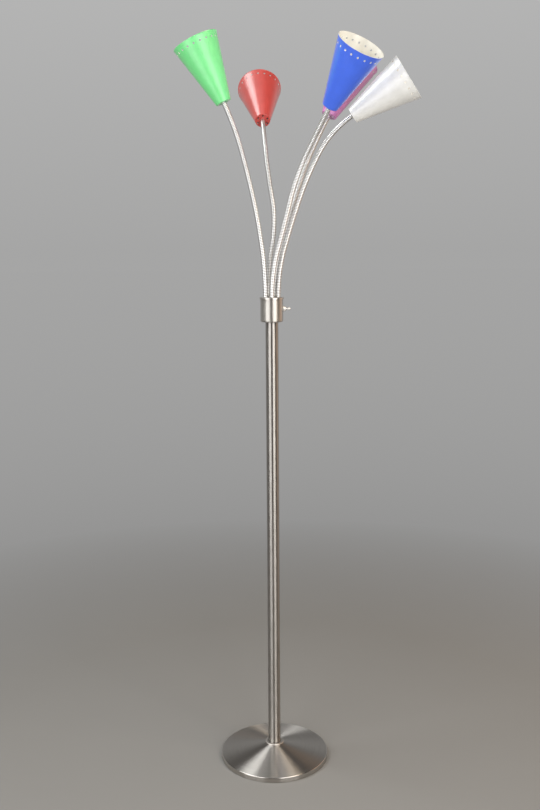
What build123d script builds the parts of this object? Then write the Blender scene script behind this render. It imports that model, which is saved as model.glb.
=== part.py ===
from build123d import *
from math import atan2, cos, radians, sin, sqrt, tan
import os

os.makedirs("parts", exist_ok=True)

# Floor lamp with five flexible necks, each with a cone shade that points up.
# All lengths are in millimetres. The origin is the middle of the base, on the floor, +Z is up,
# the switch knob is on the +X side and the flex enters the base at the back, on the +Y side.

# Fits shared by all pieces
running_gap = 0.3
slip_gap = 0.15
seat_gap = 0.1
cut_overrun = 2.0

# Base: a spun steel cover over a cast weight on a felt pad
base_diameter = 279.4
base_rim_height = 13.7
base_crown_height = 36.0
base_land_diameter = 48.0
base_wall = 1.2
base_rim_lift = 0.8
pad_thickness = 2.0
pad_edge_gap = 1.5
weight_edge_gap = 2.0
weight_height = 12.0
weight_boss_inset = 2.0
weight_boss_flare = 14.0
recess_side_gap = 3.0
recess_foot_gap = 1.0
flex_channel_width = 9.0
flex_channel_depth = 7.0
washer_diameter = 38.0
washer_thickness = 2.0
lock_nut_across_flats = 17.0
lock_nut_height = 5.0

# Flex inlet in the back of the base's rim
inlet_diameter = 8.6
inlet_bore = 6.0
inlet_flange_diameter = 11.0
inlet_flange_thickness = 1.5

# Threaded tubes that clamp the base and the hub to the pole
stem_diameter = 9.6
stem_bore = 6.4
stem_lift = 0.6

# Pole: three screwed tubes on a ring
ring_height = 3.6
ring_recess = 1.6
ring_edge_chamfer = 1.0
pole_diameter = 31.75
pole_wall = 1.2
pole_sections = 3
pole_edge_chamfer = 0.35
coupler_bore = 12.0
coupler_length = 44.0
plug_length = 20.0

# Hub: a cup with a lid that carries the necks
hub_bottom = 1146.0
hub_height = 60.0
hub_diameter = 56.0
hub_wall = 1.2
hub_bottom_radius = 4.0
lid_wall = 1.75
lid_rim_height = 5.0
lid_thickness = 1.6
lid_edge_chamfer = 0.5
cap_nut_diameter = 13.0
cap_nut_height = 6.0
cap_nut_chamfer = 2.0

# Switch on the hub's side
switch_height_share = 0.533
switch_body_width = 16.0
switch_body_height = 14.0
switch_wall_gap = 1.1
switch_back_gap = 4.4
bushing_diameter = 6.6
bushing_bore = 3.4
bushing_inset = 0.7
knob_nut_length = 7.0
knob_nut_tip_wall = 0.75
knob_nut_flare = 2.8
knob_nut_face_length = 1.0
knob_waist_diameter = 4.4
knob_waist_length = 2.8
knob_ball_diameter = 7.8
knob_shaft_depth = 12.0

# Necks: flexible tubes of one length that stand in a ring on the lid
neck_colours = ("blue", "white", "pink", "red", "green")
neck_length = 485.0
neck_diameter = 11.8
neck_bore = 7.0
neck_first_heading = 272.0
nipple_diameter = 10.0
nipple_bore = 4.4
nipple_spigot_length = 8.0
nipple_thread_length = 8.0
nipple_nut_across_flats = 13.0
nipple_nut_height = 3.0
nipple_nut_edge_gap = 3.0

# Shades, sockets and bulbs
shade_small_diameter = 38.1
shade_large_diameter = 114.3
shade_length = 157.5
shade_wall = 0.8
shade_foot_chamfer = 0.8
shade_hem_height = 1.8
shade_hem_thickness = 0.6
socket_foot_diameter = 18.0
socket_cap_diameter = 27.0
socket_cap_length = 12.0
socket_diameter = 31.0
socket_length = 46.0
socket_bore = 27.0
socket_bore_depth = 24.0
bulb_base_diameter = 26.2
bulb_base_length = 23.0
bulb_diameter = 48.0
bulb_taper_length = 24.0
bulb_straight_length = 18.0
bulb_dome_length = 16.0
bulb_crown_length = 3.0
bulb_crown_share = 0.6

# How each neck stands, at four equal steps along it: its lean from upright and the heading
# that it leans towards, both in degrees, with heading 0 along +X and 90 along +Y
neck_bend_angles = {
    "blue": ((18, 30), (22, 52), (33, 320), (39, 311)),
    "white": ((21, 41), (21, 26), (28, 355), (58, 346)),
    "pink": ((20, 38), (24, 51), (30, 42), (30, 23)),
    "red": ((13, 35), (19, 119), (30, 99), (52, 94)),
    "green": ((11, 132), (17, 135), (18, 147), (25, 180)),
}

# Sizes that follow from the ones above
base_radius = base_diameter / 2
base_land_radius = base_land_diameter / 2
base_slope = atan2(base_crown_height - base_rim_height, base_radius - base_land_radius)
washer_level = pad_thickness + recess_foot_gap + lock_nut_height
stem_hole_radius = stem_diameter / 2 + slip_gap
pole_bottom = base_crown_height + ring_height - ring_recess
pole_inner_radius = pole_diameter / 2 - pole_wall
pole_section_length = (hub_bottom - pole_bottom) / pole_sections
hub_top = hub_bottom + hub_height
hub_radius = hub_diameter / 2
hub_inner_radius = hub_radius - hub_wall
lid_underside = hub_top - lid_thickness
nipple_hole_radius = nipple_diameter / 2 + slip_gap
nipple_nut_corner = nipple_nut_across_flats / 2 / cos(radians(30))
neck_circle_radius = hub_inner_radius - nipple_nut_edge_gap - nipple_nut_corner
neck_seat = hub_top + running_gap
switch_level = hub_bottom + hub_height * switch_height_share
switch_plane = Plane(origin=(0, 0, switch_level), x_dir=(0, 1, 0), z_dir=(1, 0, 0))
switch_face = sqrt((hub_inner_radius - switch_wall_gap) ** 2 - (switch_body_width / 2) ** 2)
knob_nut_foot = hub_radius + seat_gap
knob_nut_tip = knob_nut_foot + knob_nut_length
small_radius = shade_small_diameter / 2
large_radius = shade_large_diameter / 2
cone_radius = large_radius - shade_hem_thickness
shade_half_angle = atan2(cone_radius - small_radius, shade_length)
socket_top = shade_wall + socket_length
bulb_foot = socket_top - socket_bore_depth + running_gap


def cone_height(radius):
    """Height of the base cover's outside at a distance from the middle."""
    return base_rim_height + (base_radius - radius) * tan(base_slope)


def leaning(lean, heading):
    """Unit vector that leans from upright towards a heading, both in degrees."""
    side = sin(radians(lean))
    return Vector(side * cos(radians(heading)), side * sin(radians(heading)), cos(radians(lean)))


def neck_stations(colour):
    """Places and directions at the ends of a neck's arcs, each as long as the others and each
    turning from one direction to the next."""
    hole = radians(neck_first_heading + neck_colours.index(colour) * 360 / len(neck_colours))
    place = Vector(cos(hole), sin(hole), 0) * neck_circle_radius + Vector(0, 0, neck_seat)
    along = Vector(0, 0, 1)
    stations = [(place, along)]
    arc_length = neck_length / len(neck_bend_angles[colour])
    for lean, heading in neck_bend_angles[colour]:
        onward = leaning(lean, heading)
        half_turn = radians(along.get_angle(onward)) / 2
        place = place + (along + onward).normalized() * (arc_length * sin(half_turn) / half_turn)
        along = onward
        stations.append((place, along))
    return stations


# Felt pad under the base
with BuildPart() as base_pad:
    with BuildSketch():
        Circle(base_radius - base_wall - pad_edge_gap)
    extrude(amount=pad_thickness)
base_pad.part.label = "base_pad"

# Spun steel cover: an upright rim, a sharp fold, a shallow cone and a flat land for the pole
with BuildPart() as base_cover:
    with BuildSketch(Plane.XZ):
        with BuildLine():
            wall_drop = base_wall / cos(base_slope)
            inner_rim = base_radius - base_wall
            inner_land = base_land_radius - (wall_drop - base_wall) / tan(base_slope)
            Polyline(
                (stem_hole_radius, base_crown_height),
                (base_land_radius, base_crown_height),
                (base_radius, base_rim_height),
                (base_radius, base_rim_lift),
                (inner_rim, base_rim_lift),
                (inner_rim, cone_height(inner_rim) - wall_drop),
                (inner_land, base_crown_height - base_wall),
                (stem_hole_radius, base_crown_height - base_wall),
                close=True,
            )
        make_face()
    revolve(axis=Axis.Z)
    with BuildSketch(Plane.XZ.offset(-base_radius)):
        with Locations((0, (base_rim_lift + base_rim_height) / 2)):
            Circle(inlet_diameter / 2 + slip_gap)
    extrude(amount=base_wall + cut_overrun, both=True, mode=Mode.SUBTRACT)
base_cover.part.label = "base_cover"

# Cast iron weight with a boss that holds up the cover, a nut recess and a channel for the flex
with BuildPart() as base_weight:
    weight_radius = base_radius - base_wall - weight_edge_gap
    boss_radius = base_land_radius - weight_boss_inset
    recess_radius = washer_diameter / 2 + recess_side_gap
    with BuildSketch(Plane.XZ):
        with BuildLine():
            Polyline(
                (stem_hole_radius, washer_level + washer_thickness),
                (stem_hole_radius, base_crown_height - base_wall),
                (boss_radius, base_crown_height - base_wall),
                (boss_radius + weight_boss_flare, weight_height),
                (weight_radius, weight_height),
                (weight_radius, pad_thickness),
                (recess_radius, pad_thickness),
                (recess_radius, washer_level + washer_thickness),
                close=True,
            )
        make_face()
    revolve(axis=Axis.Z)
    with BuildSketch(Plane.XY.offset(pad_thickness)):
        with Locations((0, weight_radius / 2)):
            Rectangle(flex_channel_width, weight_radius)
    extrude(amount=flex_channel_depth, mode=Mode.SUBTRACT)
base_weight.part.label = "base_weight"

# Grommet that the flex would pass through, in the back of the rim
with BuildPart() as cord_bushing:
    inlet_level = (base_rim_lift + base_rim_height) / 2
    inlet_seat = Plane(origin=(0, base_radius + seat_gap, inlet_level), x_dir=(1, 0, 0), z_dir=(0, 1, 0))
    inlet_depth = seat_gap + base_wall + weight_edge_gap - running_gap
    with BuildSketch(inlet_seat):
        Circle(inlet_flange_diameter / 2)
    extrude(amount=inlet_flange_thickness)
    with BuildSketch(inlet_seat):
        Circle(inlet_diameter / 2)
    extrude(amount=-inlet_depth)
    with BuildSketch(inlet_seat):
        Circle(inlet_bore / 2)
    extrude(amount=inlet_depth + cut_overrun, both=True, mode=Mode.SUBTRACT)
cord_bushing.part.label = "cord_bushing"

# Washer and lock nut in the weight's recess
with BuildPart() as base_washer:
    with BuildSketch(Plane.XY.offset(washer_level)):
        Circle(washer_diameter / 2)
        Circle(stem_hole_radius, mode=Mode.SUBTRACT)
    extrude(amount=washer_thickness)
base_washer.part.label = "base_washer"

with BuildPart() as base_nut:
    with BuildSketch(Plane.XY.offset(washer_level)):
        RegularPolygon(lock_nut_across_flats / 2, side_count=6, major_radius=False)
        Circle(stem_hole_radius, mode=Mode.SUBTRACT)
    extrude(amount=-lock_nut_height)
base_nut.part.label = "base_nut"

# Threaded tube from the nut up into the pole's foot
with BuildPart() as base_stem:
    with BuildSketch(Plane.XY.offset(pad_thickness + stem_lift)):
        Circle(stem_diameter / 2)
        Circle(stem_bore / 2, mode=Mode.SUBTRACT)
    extrude(amount=pole_bottom + plug_length - pad_thickness - stem_lift)
base_stem.part.label = "base_stem"

# Turned ring that the pole stands in
with BuildPart() as pole_ring:
    with BuildSketch(Plane.XY.offset(base_crown_height)):
        Circle(base_land_radius)
        Circle(stem_hole_radius, mode=Mode.SUBTRACT)
    extrude(amount=ring_height)
    with BuildSketch(Plane.XY.offset(pole_bottom)):
        Circle(pole_diameter / 2 + slip_gap)
    extrude(amount=ring_height, mode=Mode.SUBTRACT)
    ring_edges = pole_ring.edges().filter_by(GeomType.CIRCLE).group_by(SortBy.RADIUS)[-1]
    chamfer(ring_edges.sort_by(Axis.Z)[-1], length=ring_edge_chamfer)
pole_ring.part.label = "pole_ring"

# Pole tubes, one screwed to the next, with a fine line at each joint
pole_parts = []
for section, name in enumerate(("pole_lower", "pole_middle", "pole_upper")):
    with BuildPart() as pole_tube:
        with BuildSketch(Plane.XY.offset(pole_bottom + section * pole_section_length)):
            Circle(pole_diameter / 2)
            Circle(pole_inner_radius, mode=Mode.SUBTRACT)
        extrude(amount=pole_section_length)
        outer_edges = pole_tube.edges().filter_by(GeomType.CIRCLE).group_by(SortBy.RADIUS)[-1]
        chamfer(outer_edges, length=pole_edge_chamfer)
    pole_tube.part.label = name
    pole_parts.append(pole_tube.part)

# Couplers inside the two joints of the pole
coupler_parts = []
for section, name in enumerate(("pole_coupler_lower", "pole_coupler_upper"), start=1):
    joint_level = pole_bottom + section * pole_section_length
    with BuildPart() as coupler:
        with BuildSketch(Plane.XY.offset(joint_level - coupler_length / 2)):
            Circle(pole_inner_radius - seat_gap)
            Circle(coupler_bore / 2, mode=Mode.SUBTRACT)
        extrude(amount=coupler_length)
    coupler.part.label = name
    coupler_parts.append(coupler.part)

# Plugs fixed in the pole's two ends, which the threaded tubes screw into
plug_parts = []
for name, plug_bottom in (("pole_foot_plug", pole_bottom), ("pole_head_plug", hub_bottom - plug_length)):
    with BuildPart() as plug:
        with BuildSketch(Plane.XY.offset(plug_bottom)):
            Circle(pole_inner_radius - seat_gap)
            Circle(stem_hole_radius, mode=Mode.SUBTRACT)
        extrude(amount=plug_length)
    plug.part.label = name
    plug_parts.append(plug.part)

# Hub cup, drawn from sheet, with a rounded bottom edge and a hole for the switch
with BuildPart() as hub_cup:
    with BuildSketch(Plane.XZ) as cup_profile:
        with BuildLine():
            Polyline(
                (stem_hole_radius, hub_bottom),
                (hub_radius, hub_bottom),
                (hub_radius, lid_underside),
                (hub_inner_radius, lid_underside),
                (hub_inner_radius, hub_bottom + hub_wall),
                (stem_hole_radius, hub_bottom + hub_wall),
                close=True,
            )
        make_face()
        outer_corner = cup_profile.vertices().sort_by_distance((hub_radius, hub_bottom))[0]
        fillet(outer_corner, radius=hub_bottom_radius)
        inner_corner = cup_profile.vertices().sort_by_distance((hub_inner_radius, hub_bottom + hub_wall))[0]
        chamfer(inner_corner, length=hub_bottom_radius - hub_wall)
    revolve(axis=Axis.Z)
    with BuildSketch(switch_plane.offset(hub_radius)):
        Circle(bushing_diameter / 2 + slip_gap)
    extrude(amount=hub_wall + cut_overrun, both=True, mode=Mode.SUBTRACT)
hub_cup.part.label = "hub_cup"

# Lock nut inside the cup and the threaded tube that holds the hub together
with BuildPart() as hub_nut:
    with BuildSketch(Plane.XY.offset(hub_bottom + hub_wall)):
        RegularPolygon(lock_nut_across_flats / 2, side_count=6, major_radius=False)
        Circle(stem_hole_radius, mode=Mode.SUBTRACT)
    extrude(amount=lock_nut_height)
hub_nut.part.label = "hub_nut"

with BuildPart() as hub_stem:
    with BuildSketch(Plane.XY.offset(hub_bottom - plug_length)):
        Circle(stem_diameter / 2)
        Circle(stem_bore / 2, mode=Mode.SUBTRACT)
    extrude(amount=plug_length + hub_height + cap_nut_height / 2)
hub_stem.part.label = "hub_stem"

# Lid: a shallow cap over the cup with a ring of neck holes
with BuildPart() as hub_lid:
    with BuildSketch(Plane.XY.offset(hub_top - lid_rim_height)):
        Circle(hub_radius + seat_gap + lid_wall)
    extrude(amount=lid_rim_height)
    chamfer(hub_lid.faces().sort_by(Axis.Z)[-1].edges(), length=lid_edge_chamfer)
    with BuildSketch(Plane.XY.offset(hub_top - lid_rim_height)):
        Circle(hub_radius + seat_gap)
    extrude(amount=lid_rim_height - lid_thickness, mode=Mode.SUBTRACT)
    with BuildSketch(Plane.XY.offset(hub_top)):
        Circle(stem_hole_radius)
        with PolarLocations(neck_circle_radius, len(neck_colours), start_angle=neck_first_heading):
            Circle(nipple_hole_radius)
    extrude(amount=lid_thickness + cut_overrun, both=True, mode=Mode.SUBTRACT)
hub_lid.part.label = "hub_lid"

# Cap nut in the middle of the lid
with BuildPart() as lid_cap_nut:
    with BuildSketch(Plane.XY.offset(hub_top)):
        Circle(cap_nut_diameter / 2)
    extrude(amount=cap_nut_height)
    chamfer(lid_cap_nut.faces().sort_by(Axis.Z)[-1].edges(), length=cap_nut_chamfer)
    with BuildSketch(Plane.XY.offset(hub_top)):
        Circle(stem_hole_radius)
    extrude(amount=cap_nut_height / 2 + seat_gap, mode=Mode.SUBTRACT)
lid_cap_nut.part.label = "lid_cap_nut"

# Nipples at the necks' feet: a thread through the lid and a spigot up the neck's bore
with BuildPart() as neck_root_nipples:
    with BuildSketch(Plane.XY.offset(hub_top)):
        with PolarLocations(neck_circle_radius, len(neck_colours), start_angle=neck_first_heading):
            Circle(nipple_diameter / 2)
    extrude(amount=-(lid_thickness + nipple_thread_length))
    with BuildSketch(Plane.XY.offset(hub_top)):
        with PolarLocations(neck_circle_radius, len(neck_colours), start_angle=neck_first_heading):
            Circle(neck_bore / 2 - running_gap)
    extrude(amount=nipple_spigot_length)
    with BuildSketch(Plane.XY.offset(hub_top + nipple_spigot_length)):
        with PolarLocations(neck_circle_radius, len(neck_colours), start_angle=neck_first_heading):
            Circle(nipple_bore / 2)
    extrude(
        amount=-(nipple_spigot_length + lid_thickness + nipple_thread_length + cut_overrun),
        mode=Mode.SUBTRACT,
    )
neck_root_nipples.part.label = "neck_root_nipples"

# Nuts that pull the nipples up against the lid
with BuildPart() as neck_root_nuts:
    with BuildSketch(Plane.XY.offset(lid_underside)):
        with PolarLocations(neck_circle_radius, len(neck_colours), start_angle=neck_first_heading):
            RegularPolygon(nipple_nut_across_flats / 2, side_count=6, major_radius=False)
            Circle(nipple_hole_radius, mode=Mode.SUBTRACT)
    extrude(amount=-nipple_nut_height)
neck_root_nuts.part.label = "neck_root_nuts"

# Rotary switch inside the hub, with a bushing through the wall
with BuildPart() as switch_body:
    with BuildSketch(switch_plane.offset(stem_hole_radius + switch_back_gap)):
        Rectangle(switch_body_width, switch_body_height)
    extrude(amount=switch_face - stem_hole_radius - switch_back_gap)
    bushing_end = knob_nut_tip - bushing_inset
    with BuildSketch(switch_plane.offset(switch_face)):
        Circle(bushing_diameter / 2)
    extrude(amount=bushing_end - switch_face)
    with BuildSketch(switch_plane.offset(bushing_end)):
        Circle(bushing_bore / 2)
    extrude(amount=-(bushing_end - hub_radius + knob_shaft_depth + running_gap), mode=Mode.SUBTRACT)
switch_body.part.label = "switch_body"

# Flared nut on the bushing, outside the hub
with BuildPart() as switch_nut:
    with BuildSketch(Plane.XZ):
        with BuildLine():
            bushing_clearance = bushing_diameter / 2 + slip_gap
            nut_tip_radius = bushing_clearance + knob_nut_tip_wall
            Polyline(
                (knob_nut_foot, switch_level + bushing_clearance),
                (knob_nut_tip, switch_level + bushing_clearance),
                (knob_nut_tip, switch_level + nut_tip_radius),
                (knob_nut_foot + knob_nut_face_length, switch_level + nut_tip_radius + knob_nut_flare),
                (knob_nut_foot, switch_level + nut_tip_radius + knob_nut_flare),
                close=True,
            )
        make_face()
    revolve(axis=Axis((0, 0, switch_level), (1, 0, 0)))
switch_nut.part.label = "switch_nut"

# Switch knob: a shaft, a waist and a ball
with BuildPart() as switch_knob:
    waist_foot = knob_nut_tip + running_gap
    ball_centre = waist_foot + knob_waist_length + knob_ball_diameter / 2
    with BuildSketch(switch_plane.offset(hub_radius - knob_shaft_depth)):
        Circle(bushing_bore / 2 - running_gap)
    extrude(amount=waist_foot - hub_radius + knob_shaft_depth)
    with BuildSketch(switch_plane.offset(waist_foot)):
        Circle(knob_waist_diameter / 2)
    extrude(amount=ball_centre - waist_foot)
    with Locations((ball_centre, 0, switch_level)):
        Sphere(knob_ball_diameter / 2)
switch_knob.part.label = "switch_knob"

stand_parts = [
    base_pad.part,
    base_cover.part,
    base_weight.part,
    cord_bushing.part,
    base_washer.part,
    base_nut.part,
    base_stem.part,
    pole_ring.part,
    *pole_parts,
    *coupler_parts,
    *plug_parts,
    hub_cup.part,
    hub_nut.part,
    hub_stem.part,
    hub_lid.part,
    lid_cap_nut.part,
    neck_root_nipples.part,
    neck_root_nuts.part,
    switch_body.part,
    switch_nut.part,
    switch_knob.part,
]
for part in stand_parts:
    export_step(part, f"parts/{part.label}.step")

# Each neck with its head: the flexible tube, then along its last direction the nipple, the
# shade, the socket that clamps the shade, and the bulb
for colour in neck_colours:
    stations = neck_stations(colour)
    tip, along = stations[-1]
    side = along.cross(Vector(0, 0, 1)).normalized()
    head_plane = Plane(origin=tip + along * running_gap, x_dir=side, z_dir=along)
    head_axis = Axis(head_plane.origin, along)
    profile_plane = Plane(origin=head_plane.origin, x_dir=side, z_dir=side.cross(along))

    with BuildPart() as gooseneck:
        with BuildLine() as centreline:
            for (start, heading), (end, onward) in zip(stations, stations[1:]):
                TangentArc(start, end, tangent=heading)
        with BuildSketch(Plane(origin=stations[0][0], z_dir=stations[0][1])):
            Circle(neck_diameter / 2)
            Circle(neck_bore / 2, mode=Mode.SUBTRACT)
        sweep(path=centreline.line)
    gooseneck.part.label = f"gooseneck_{colour}"

    # Cone shade, spun from thin sheet, with a closed foot and a turned-over hem at the rim
    with BuildPart() as shade:
        with BuildSketch(profile_plane) as shade_profile:
            with BuildLine():
                wall_across = shade_wall / cos(shade_half_angle)
                hem_foot = shade_length - shade_hem_height
                Polyline(
                    (nipple_hole_radius, 0),
                    (small_radius, 0),
                    (small_radius + hem_foot * tan(shade_half_angle), hem_foot),
                    (large_radius, hem_foot),
                    (large_radius, shade_length),
                    (cone_radius - wall_across, shade_length),
                    (small_radius + shade_wall * tan(shade_half_angle) - wall_across, shade_wall),
                    (nipple_hole_radius, shade_wall),
                    close=True,
                )
            make_face()
            foot_corner = shade_profile.vertices().sort_by_distance((small_radius, 0))[0]
            chamfer(foot_corner, length=shade_foot_chamfer)
        revolve(axis=head_axis)
    shade.part.label = f"shade_{colour}"

    # Nipple at the neck's tip: a spigot down the neck's bore and a thread into the socket
    with BuildPart() as tip_nipple:
        with BuildSketch(head_plane):
            Circle(nipple_diameter / 2)
        extrude(amount=nipple_thread_length)
        with BuildSketch(head_plane):
            Circle(neck_bore / 2 - running_gap)
        extrude(amount=-nipple_spigot_length)
        with BuildSketch(head_plane.offset(-nipple_spigot_length)):
            Circle(nipple_bore / 2)
        extrude(amount=nipple_spigot_length + nipple_thread_length + cut_overrun, mode=Mode.SUBTRACT)
    tip_nipple.part.label = f"tip_nipple_{colour}"

    # Lamp socket: a tapered cap and a shell with a deep bore for the bulb's base
    with BuildPart() as socket:
        with BuildSketch(profile_plane):
            with BuildLine():
                cap_top = shade_wall + socket_cap_length
                nipple_end = nipple_thread_length + running_gap
                bore_floor = socket_top - socket_bore_depth
                Polyline(
                    (nipple_hole_radius, shade_wall),
                    (socket_foot_diameter / 2, shade_wall),
                    (socket_cap_diameter / 2, cap_top),
                    (socket_diameter / 2, cap_top),
                    (socket_diameter / 2, socket_top),
                    (socket_bore / 2, socket_top),
                    (socket_bore / 2, bore_floor),
                    (0, bore_floor),
                    (0, nipple_end),
                    (nipple_hole_radius, nipple_end),
                    close=True,
                )
            make_face()
        revolve(axis=head_axis)
    socket.part.label = f"socket_{colour}"

    # Bulb: a screw base in the socket, a taper, and an envelope that closes in two steps
    with BuildPart() as bulb:
        with BuildSketch(profile_plane):
            with BuildLine():
                base_top = bulb_foot + bulb_base_length
                shoulder = base_top + bulb_taper_length
                dome_foot = shoulder + bulb_straight_length
                dome_top = dome_foot + bulb_dome_length
                Polyline(
                    (0, bulb_foot),
                    (bulb_base_diameter / 2, bulb_foot),
                    (bulb_base_diameter / 2, base_top),
                    (bulb_diameter / 2, shoulder),
                    (bulb_diameter / 2, dome_foot),
                    (bulb_crown_share * bulb_diameter / 2, dome_top),
                    (0, dome_top + bulb_crown_length),
                    close=True,
                )
            make_face()
        revolve(axis=head_axis)
    bulb.part.label = f"bulb_{colour}"

    for part in (gooseneck.part, shade.part, tip_nipple.part, socket.part, bulb.part):
        export_step(part, f"parts/{part.label}.step")
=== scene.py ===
from math import atan2, cos, pi, radians, sin

import bmesh
import bpy
import numpy as np
from mathutils import Matrix, Vector


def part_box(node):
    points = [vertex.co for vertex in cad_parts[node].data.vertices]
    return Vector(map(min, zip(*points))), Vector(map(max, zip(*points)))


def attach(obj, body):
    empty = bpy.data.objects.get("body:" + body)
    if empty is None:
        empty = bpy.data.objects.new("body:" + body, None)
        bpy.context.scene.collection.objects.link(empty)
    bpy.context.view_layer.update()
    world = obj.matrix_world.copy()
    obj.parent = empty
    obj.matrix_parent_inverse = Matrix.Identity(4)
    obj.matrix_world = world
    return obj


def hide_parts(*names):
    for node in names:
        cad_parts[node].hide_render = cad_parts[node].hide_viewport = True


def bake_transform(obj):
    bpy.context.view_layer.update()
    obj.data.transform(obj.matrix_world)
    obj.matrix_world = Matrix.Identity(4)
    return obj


# Floor lamp with five flexible necks, each with a cone shade that points up, dressed piece by
# piece in the order in which it goes together. Lengths are in metres, in the frame of the solids.
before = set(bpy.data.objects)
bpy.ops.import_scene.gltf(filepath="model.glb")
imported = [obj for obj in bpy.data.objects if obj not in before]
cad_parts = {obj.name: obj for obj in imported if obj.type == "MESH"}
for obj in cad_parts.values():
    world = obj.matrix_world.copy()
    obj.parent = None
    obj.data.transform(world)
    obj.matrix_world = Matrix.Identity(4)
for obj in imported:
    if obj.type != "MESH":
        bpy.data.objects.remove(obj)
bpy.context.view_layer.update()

# Camera
# A standing photographer's view with a normal lens, turned down far enough to take in the base.
# Its place, angles and focal length fit the pole, the rims of the base and the five shades.
camera_place = (-0.006, -2.3099, 1.3203)
camera_turned_down = radians(9.3765)
camera_roll = radians(0.391)
focal_length_share = 1.15922
sensor_long_side = 36.0

camera_data = bpy.data.cameras.new("photographer")
camera_data.sensor_width = sensor_long_side
camera_data.lens = focal_length_share * sensor_long_side
camera = bpy.data.objects.new("photographer", camera_data)
camera.matrix_world = (
    Matrix.Translation(camera_place)
    @ Matrix.Rotation(pi / 2 - camera_turned_down, 4, "X")
    @ Matrix.Rotation(-camera_roll, 4, "Z")
)
bpy.context.scene.collection.objects.link(camera)
bpy.context.scene.camera = camera

# Felt pad
# A disc of pressed black wool felt, punched out and glued under the base to spare the floor.
# Its cut edge is a little soft.
felt_colour = (0.028, 0.027, 0.026, 1)
felt_edge_rounding = 0.0006
same_place = 2e-7


def rounded_outline(corners, closed=False, steps=6):
    """Points and outward directions of an outline in the (radius, height) plane, which runs
    counter-clockwise. Each corner is (radius, height, rounding). The arc that touches both of its
    sides is centre - across * rounding * cos(t) + between * rounding * sin(t), for t from minus to
    plus half of the turn, where across halves the corner and between is square to it."""
    corners = np.array(corners, float)
    place, rounding = corners[:, :2], corners[:, 2:]
    onward = np.roll(place, -1, 0) - place
    onward /= np.linalg.norm(onward, axis=1)[:, None]
    before = np.roll(onward, 1, 0)
    if not closed:
        onward[-1] = before[-1]
        before[0] = onward[0]
    half_turn = np.arccos(np.clip((before * onward).sum(1), -1, 1))[:, None] / 2
    between = (before + onward) / np.linalg.norm(before + onward, axis=1)[:, None]
    across = (onward - before) / np.maximum(np.linalg.norm(onward - before, axis=1), 1e-9)[:, None]
    centre = place + across * rounding / np.cos(half_turn)
    t = (half_turn * np.linspace(-1, 1, steps + 1))[:, :, None]
    reach = rounding[:, :, None]
    arcs = centre[:, None] - across[:, None] * reach * np.cos(t) + between[:, None] * reach * np.sin(t)
    heading = between[:, None] * np.cos(t) + across[:, None] * np.sin(t)
    points = arcs.reshape(-1, 2)
    outward = np.stack([heading[..., 1], -heading[..., 0]], -1).reshape(-1, 2)
    apart = np.linalg.norm(points - np.roll(points, 1, 0), axis=1) > same_place
    return points[apart], outward[apart]


def grid_faces(rows, columns, closed=False, first=0):
    """Four-sided faces over a grid of rows that each go round and join up. A face steps round,
    then to the next row, then back, so it points outwards where rows climb the outside."""
    row = np.arange(rows if closed else rows - 1)[:, None, None] + np.array([0, 0, 1, 1])
    column = np.arange(columns)[None, :, None] + np.array([0, 1, 1, 0])
    return first + ((row % rows) * columns + column % columns).reshape(-1, 4)


def unwrapped(values, faces, period):
    """Values at the corners of faces, where a face that crosses the join has its low values
    raised by one period."""
    at_corners = values[faces]
    crossing = np.ptp(at_corners, axis=1)[:, None] > period / 2
    return at_corners + period * (crossing & (at_corners < period / 2))


def surface_piece(name, places, faces, along, turn, outward=None):
    """Piece from places, faces, and a map that holds the length along the piece and the share of
    a turn about it. Places that coincide become one, which closes poles and joins."""
    mesh = bpy.data.meshes.new(name)
    mesh.from_pydata(places.tolist(), [], faces.tolist())
    length_and_turn = [unwrapped(along, faces, np.ptp(along)), unwrapped(turn, faces, 1)]
    mesh.uv_layers.new(name="turning").data.foreach_set("uv", np.stack(length_and_turn, -1).ravel())
    if outward is not None:
        kept_outward = mesh.attributes.new("outward", "FLOAT_VECTOR", "POINT")
        kept_outward.data.foreach_set("vector", outward.astype(np.float32).ravel())
    merged = bmesh.new()
    merged.from_mesh(mesh)
    bmesh.ops.remove_doubles(merged, verts=merged.verts, dist=same_place)
    merged.to_mesh(mesh)
    merged.free()
    mesh.polygons.foreach_set("use_smooth", np.ones(len(mesh.polygons), bool))
    if outward is not None:
        directions = np.empty(len(mesh.vertices) * 3, np.float32)
        mesh.attributes["outward"].data.foreach_get("vector", directions)
        mesh.attributes.remove(mesh.attributes["outward"])
        mesh.normals_split_custom_set_from_vertices(directions.reshape(-1, 3).tolist())
    piece = bpy.data.objects.new(name, mesh)
    bpy.context.scene.collection.objects.link(piece)
    return piece


def turned(outline, directions, angles, stand):
    """Places and outward directions of an outline carried round an axis: (radius * cos(angle),
    radius * sin(angle), height), which stand then puts where the piece goes."""
    stand = np.array(stand)
    cosine, sine = np.cos(angles)[None, :], np.sin(angles)[None, :]

    def round_axis(pairs):
        radius, height = pairs[:, :1], pairs[:, 1:]
        return np.stack([radius * cosine, radius * sine, height + 0 * cosine], -1).reshape(-1, 3)

    places = round_axis(outline) @ stand[:3, :3].T + stand[:3, 3]
    return places, round_axis(directions) @ stand[:3, :3].T


def turned_piece(name, outline, closed=False, columns=96, steps=6, stand=Matrix.Identity(4)):
    """Piece with a round cross-section everywhere: a rounded outline carried round its axis."""
    points, directions = rounded_outline(outline, closed, steps)
    angles = pi / 2 + np.linspace(0, 2 * pi, columns, endpoint=False)
    places, outward = turned(points, directions, angles, stand)
    steps_along = np.linalg.norm(np.diff(points, axis=0), axis=1)
    along = np.repeat(np.append(0, np.cumsum(steps_along)), columns)
    turn = np.tile(np.arange(columns) / columns, len(points))
    faces = grid_faces(len(points), columns, closed)
    return surface_piece(name, places, faces, along, turn, outward)


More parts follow.
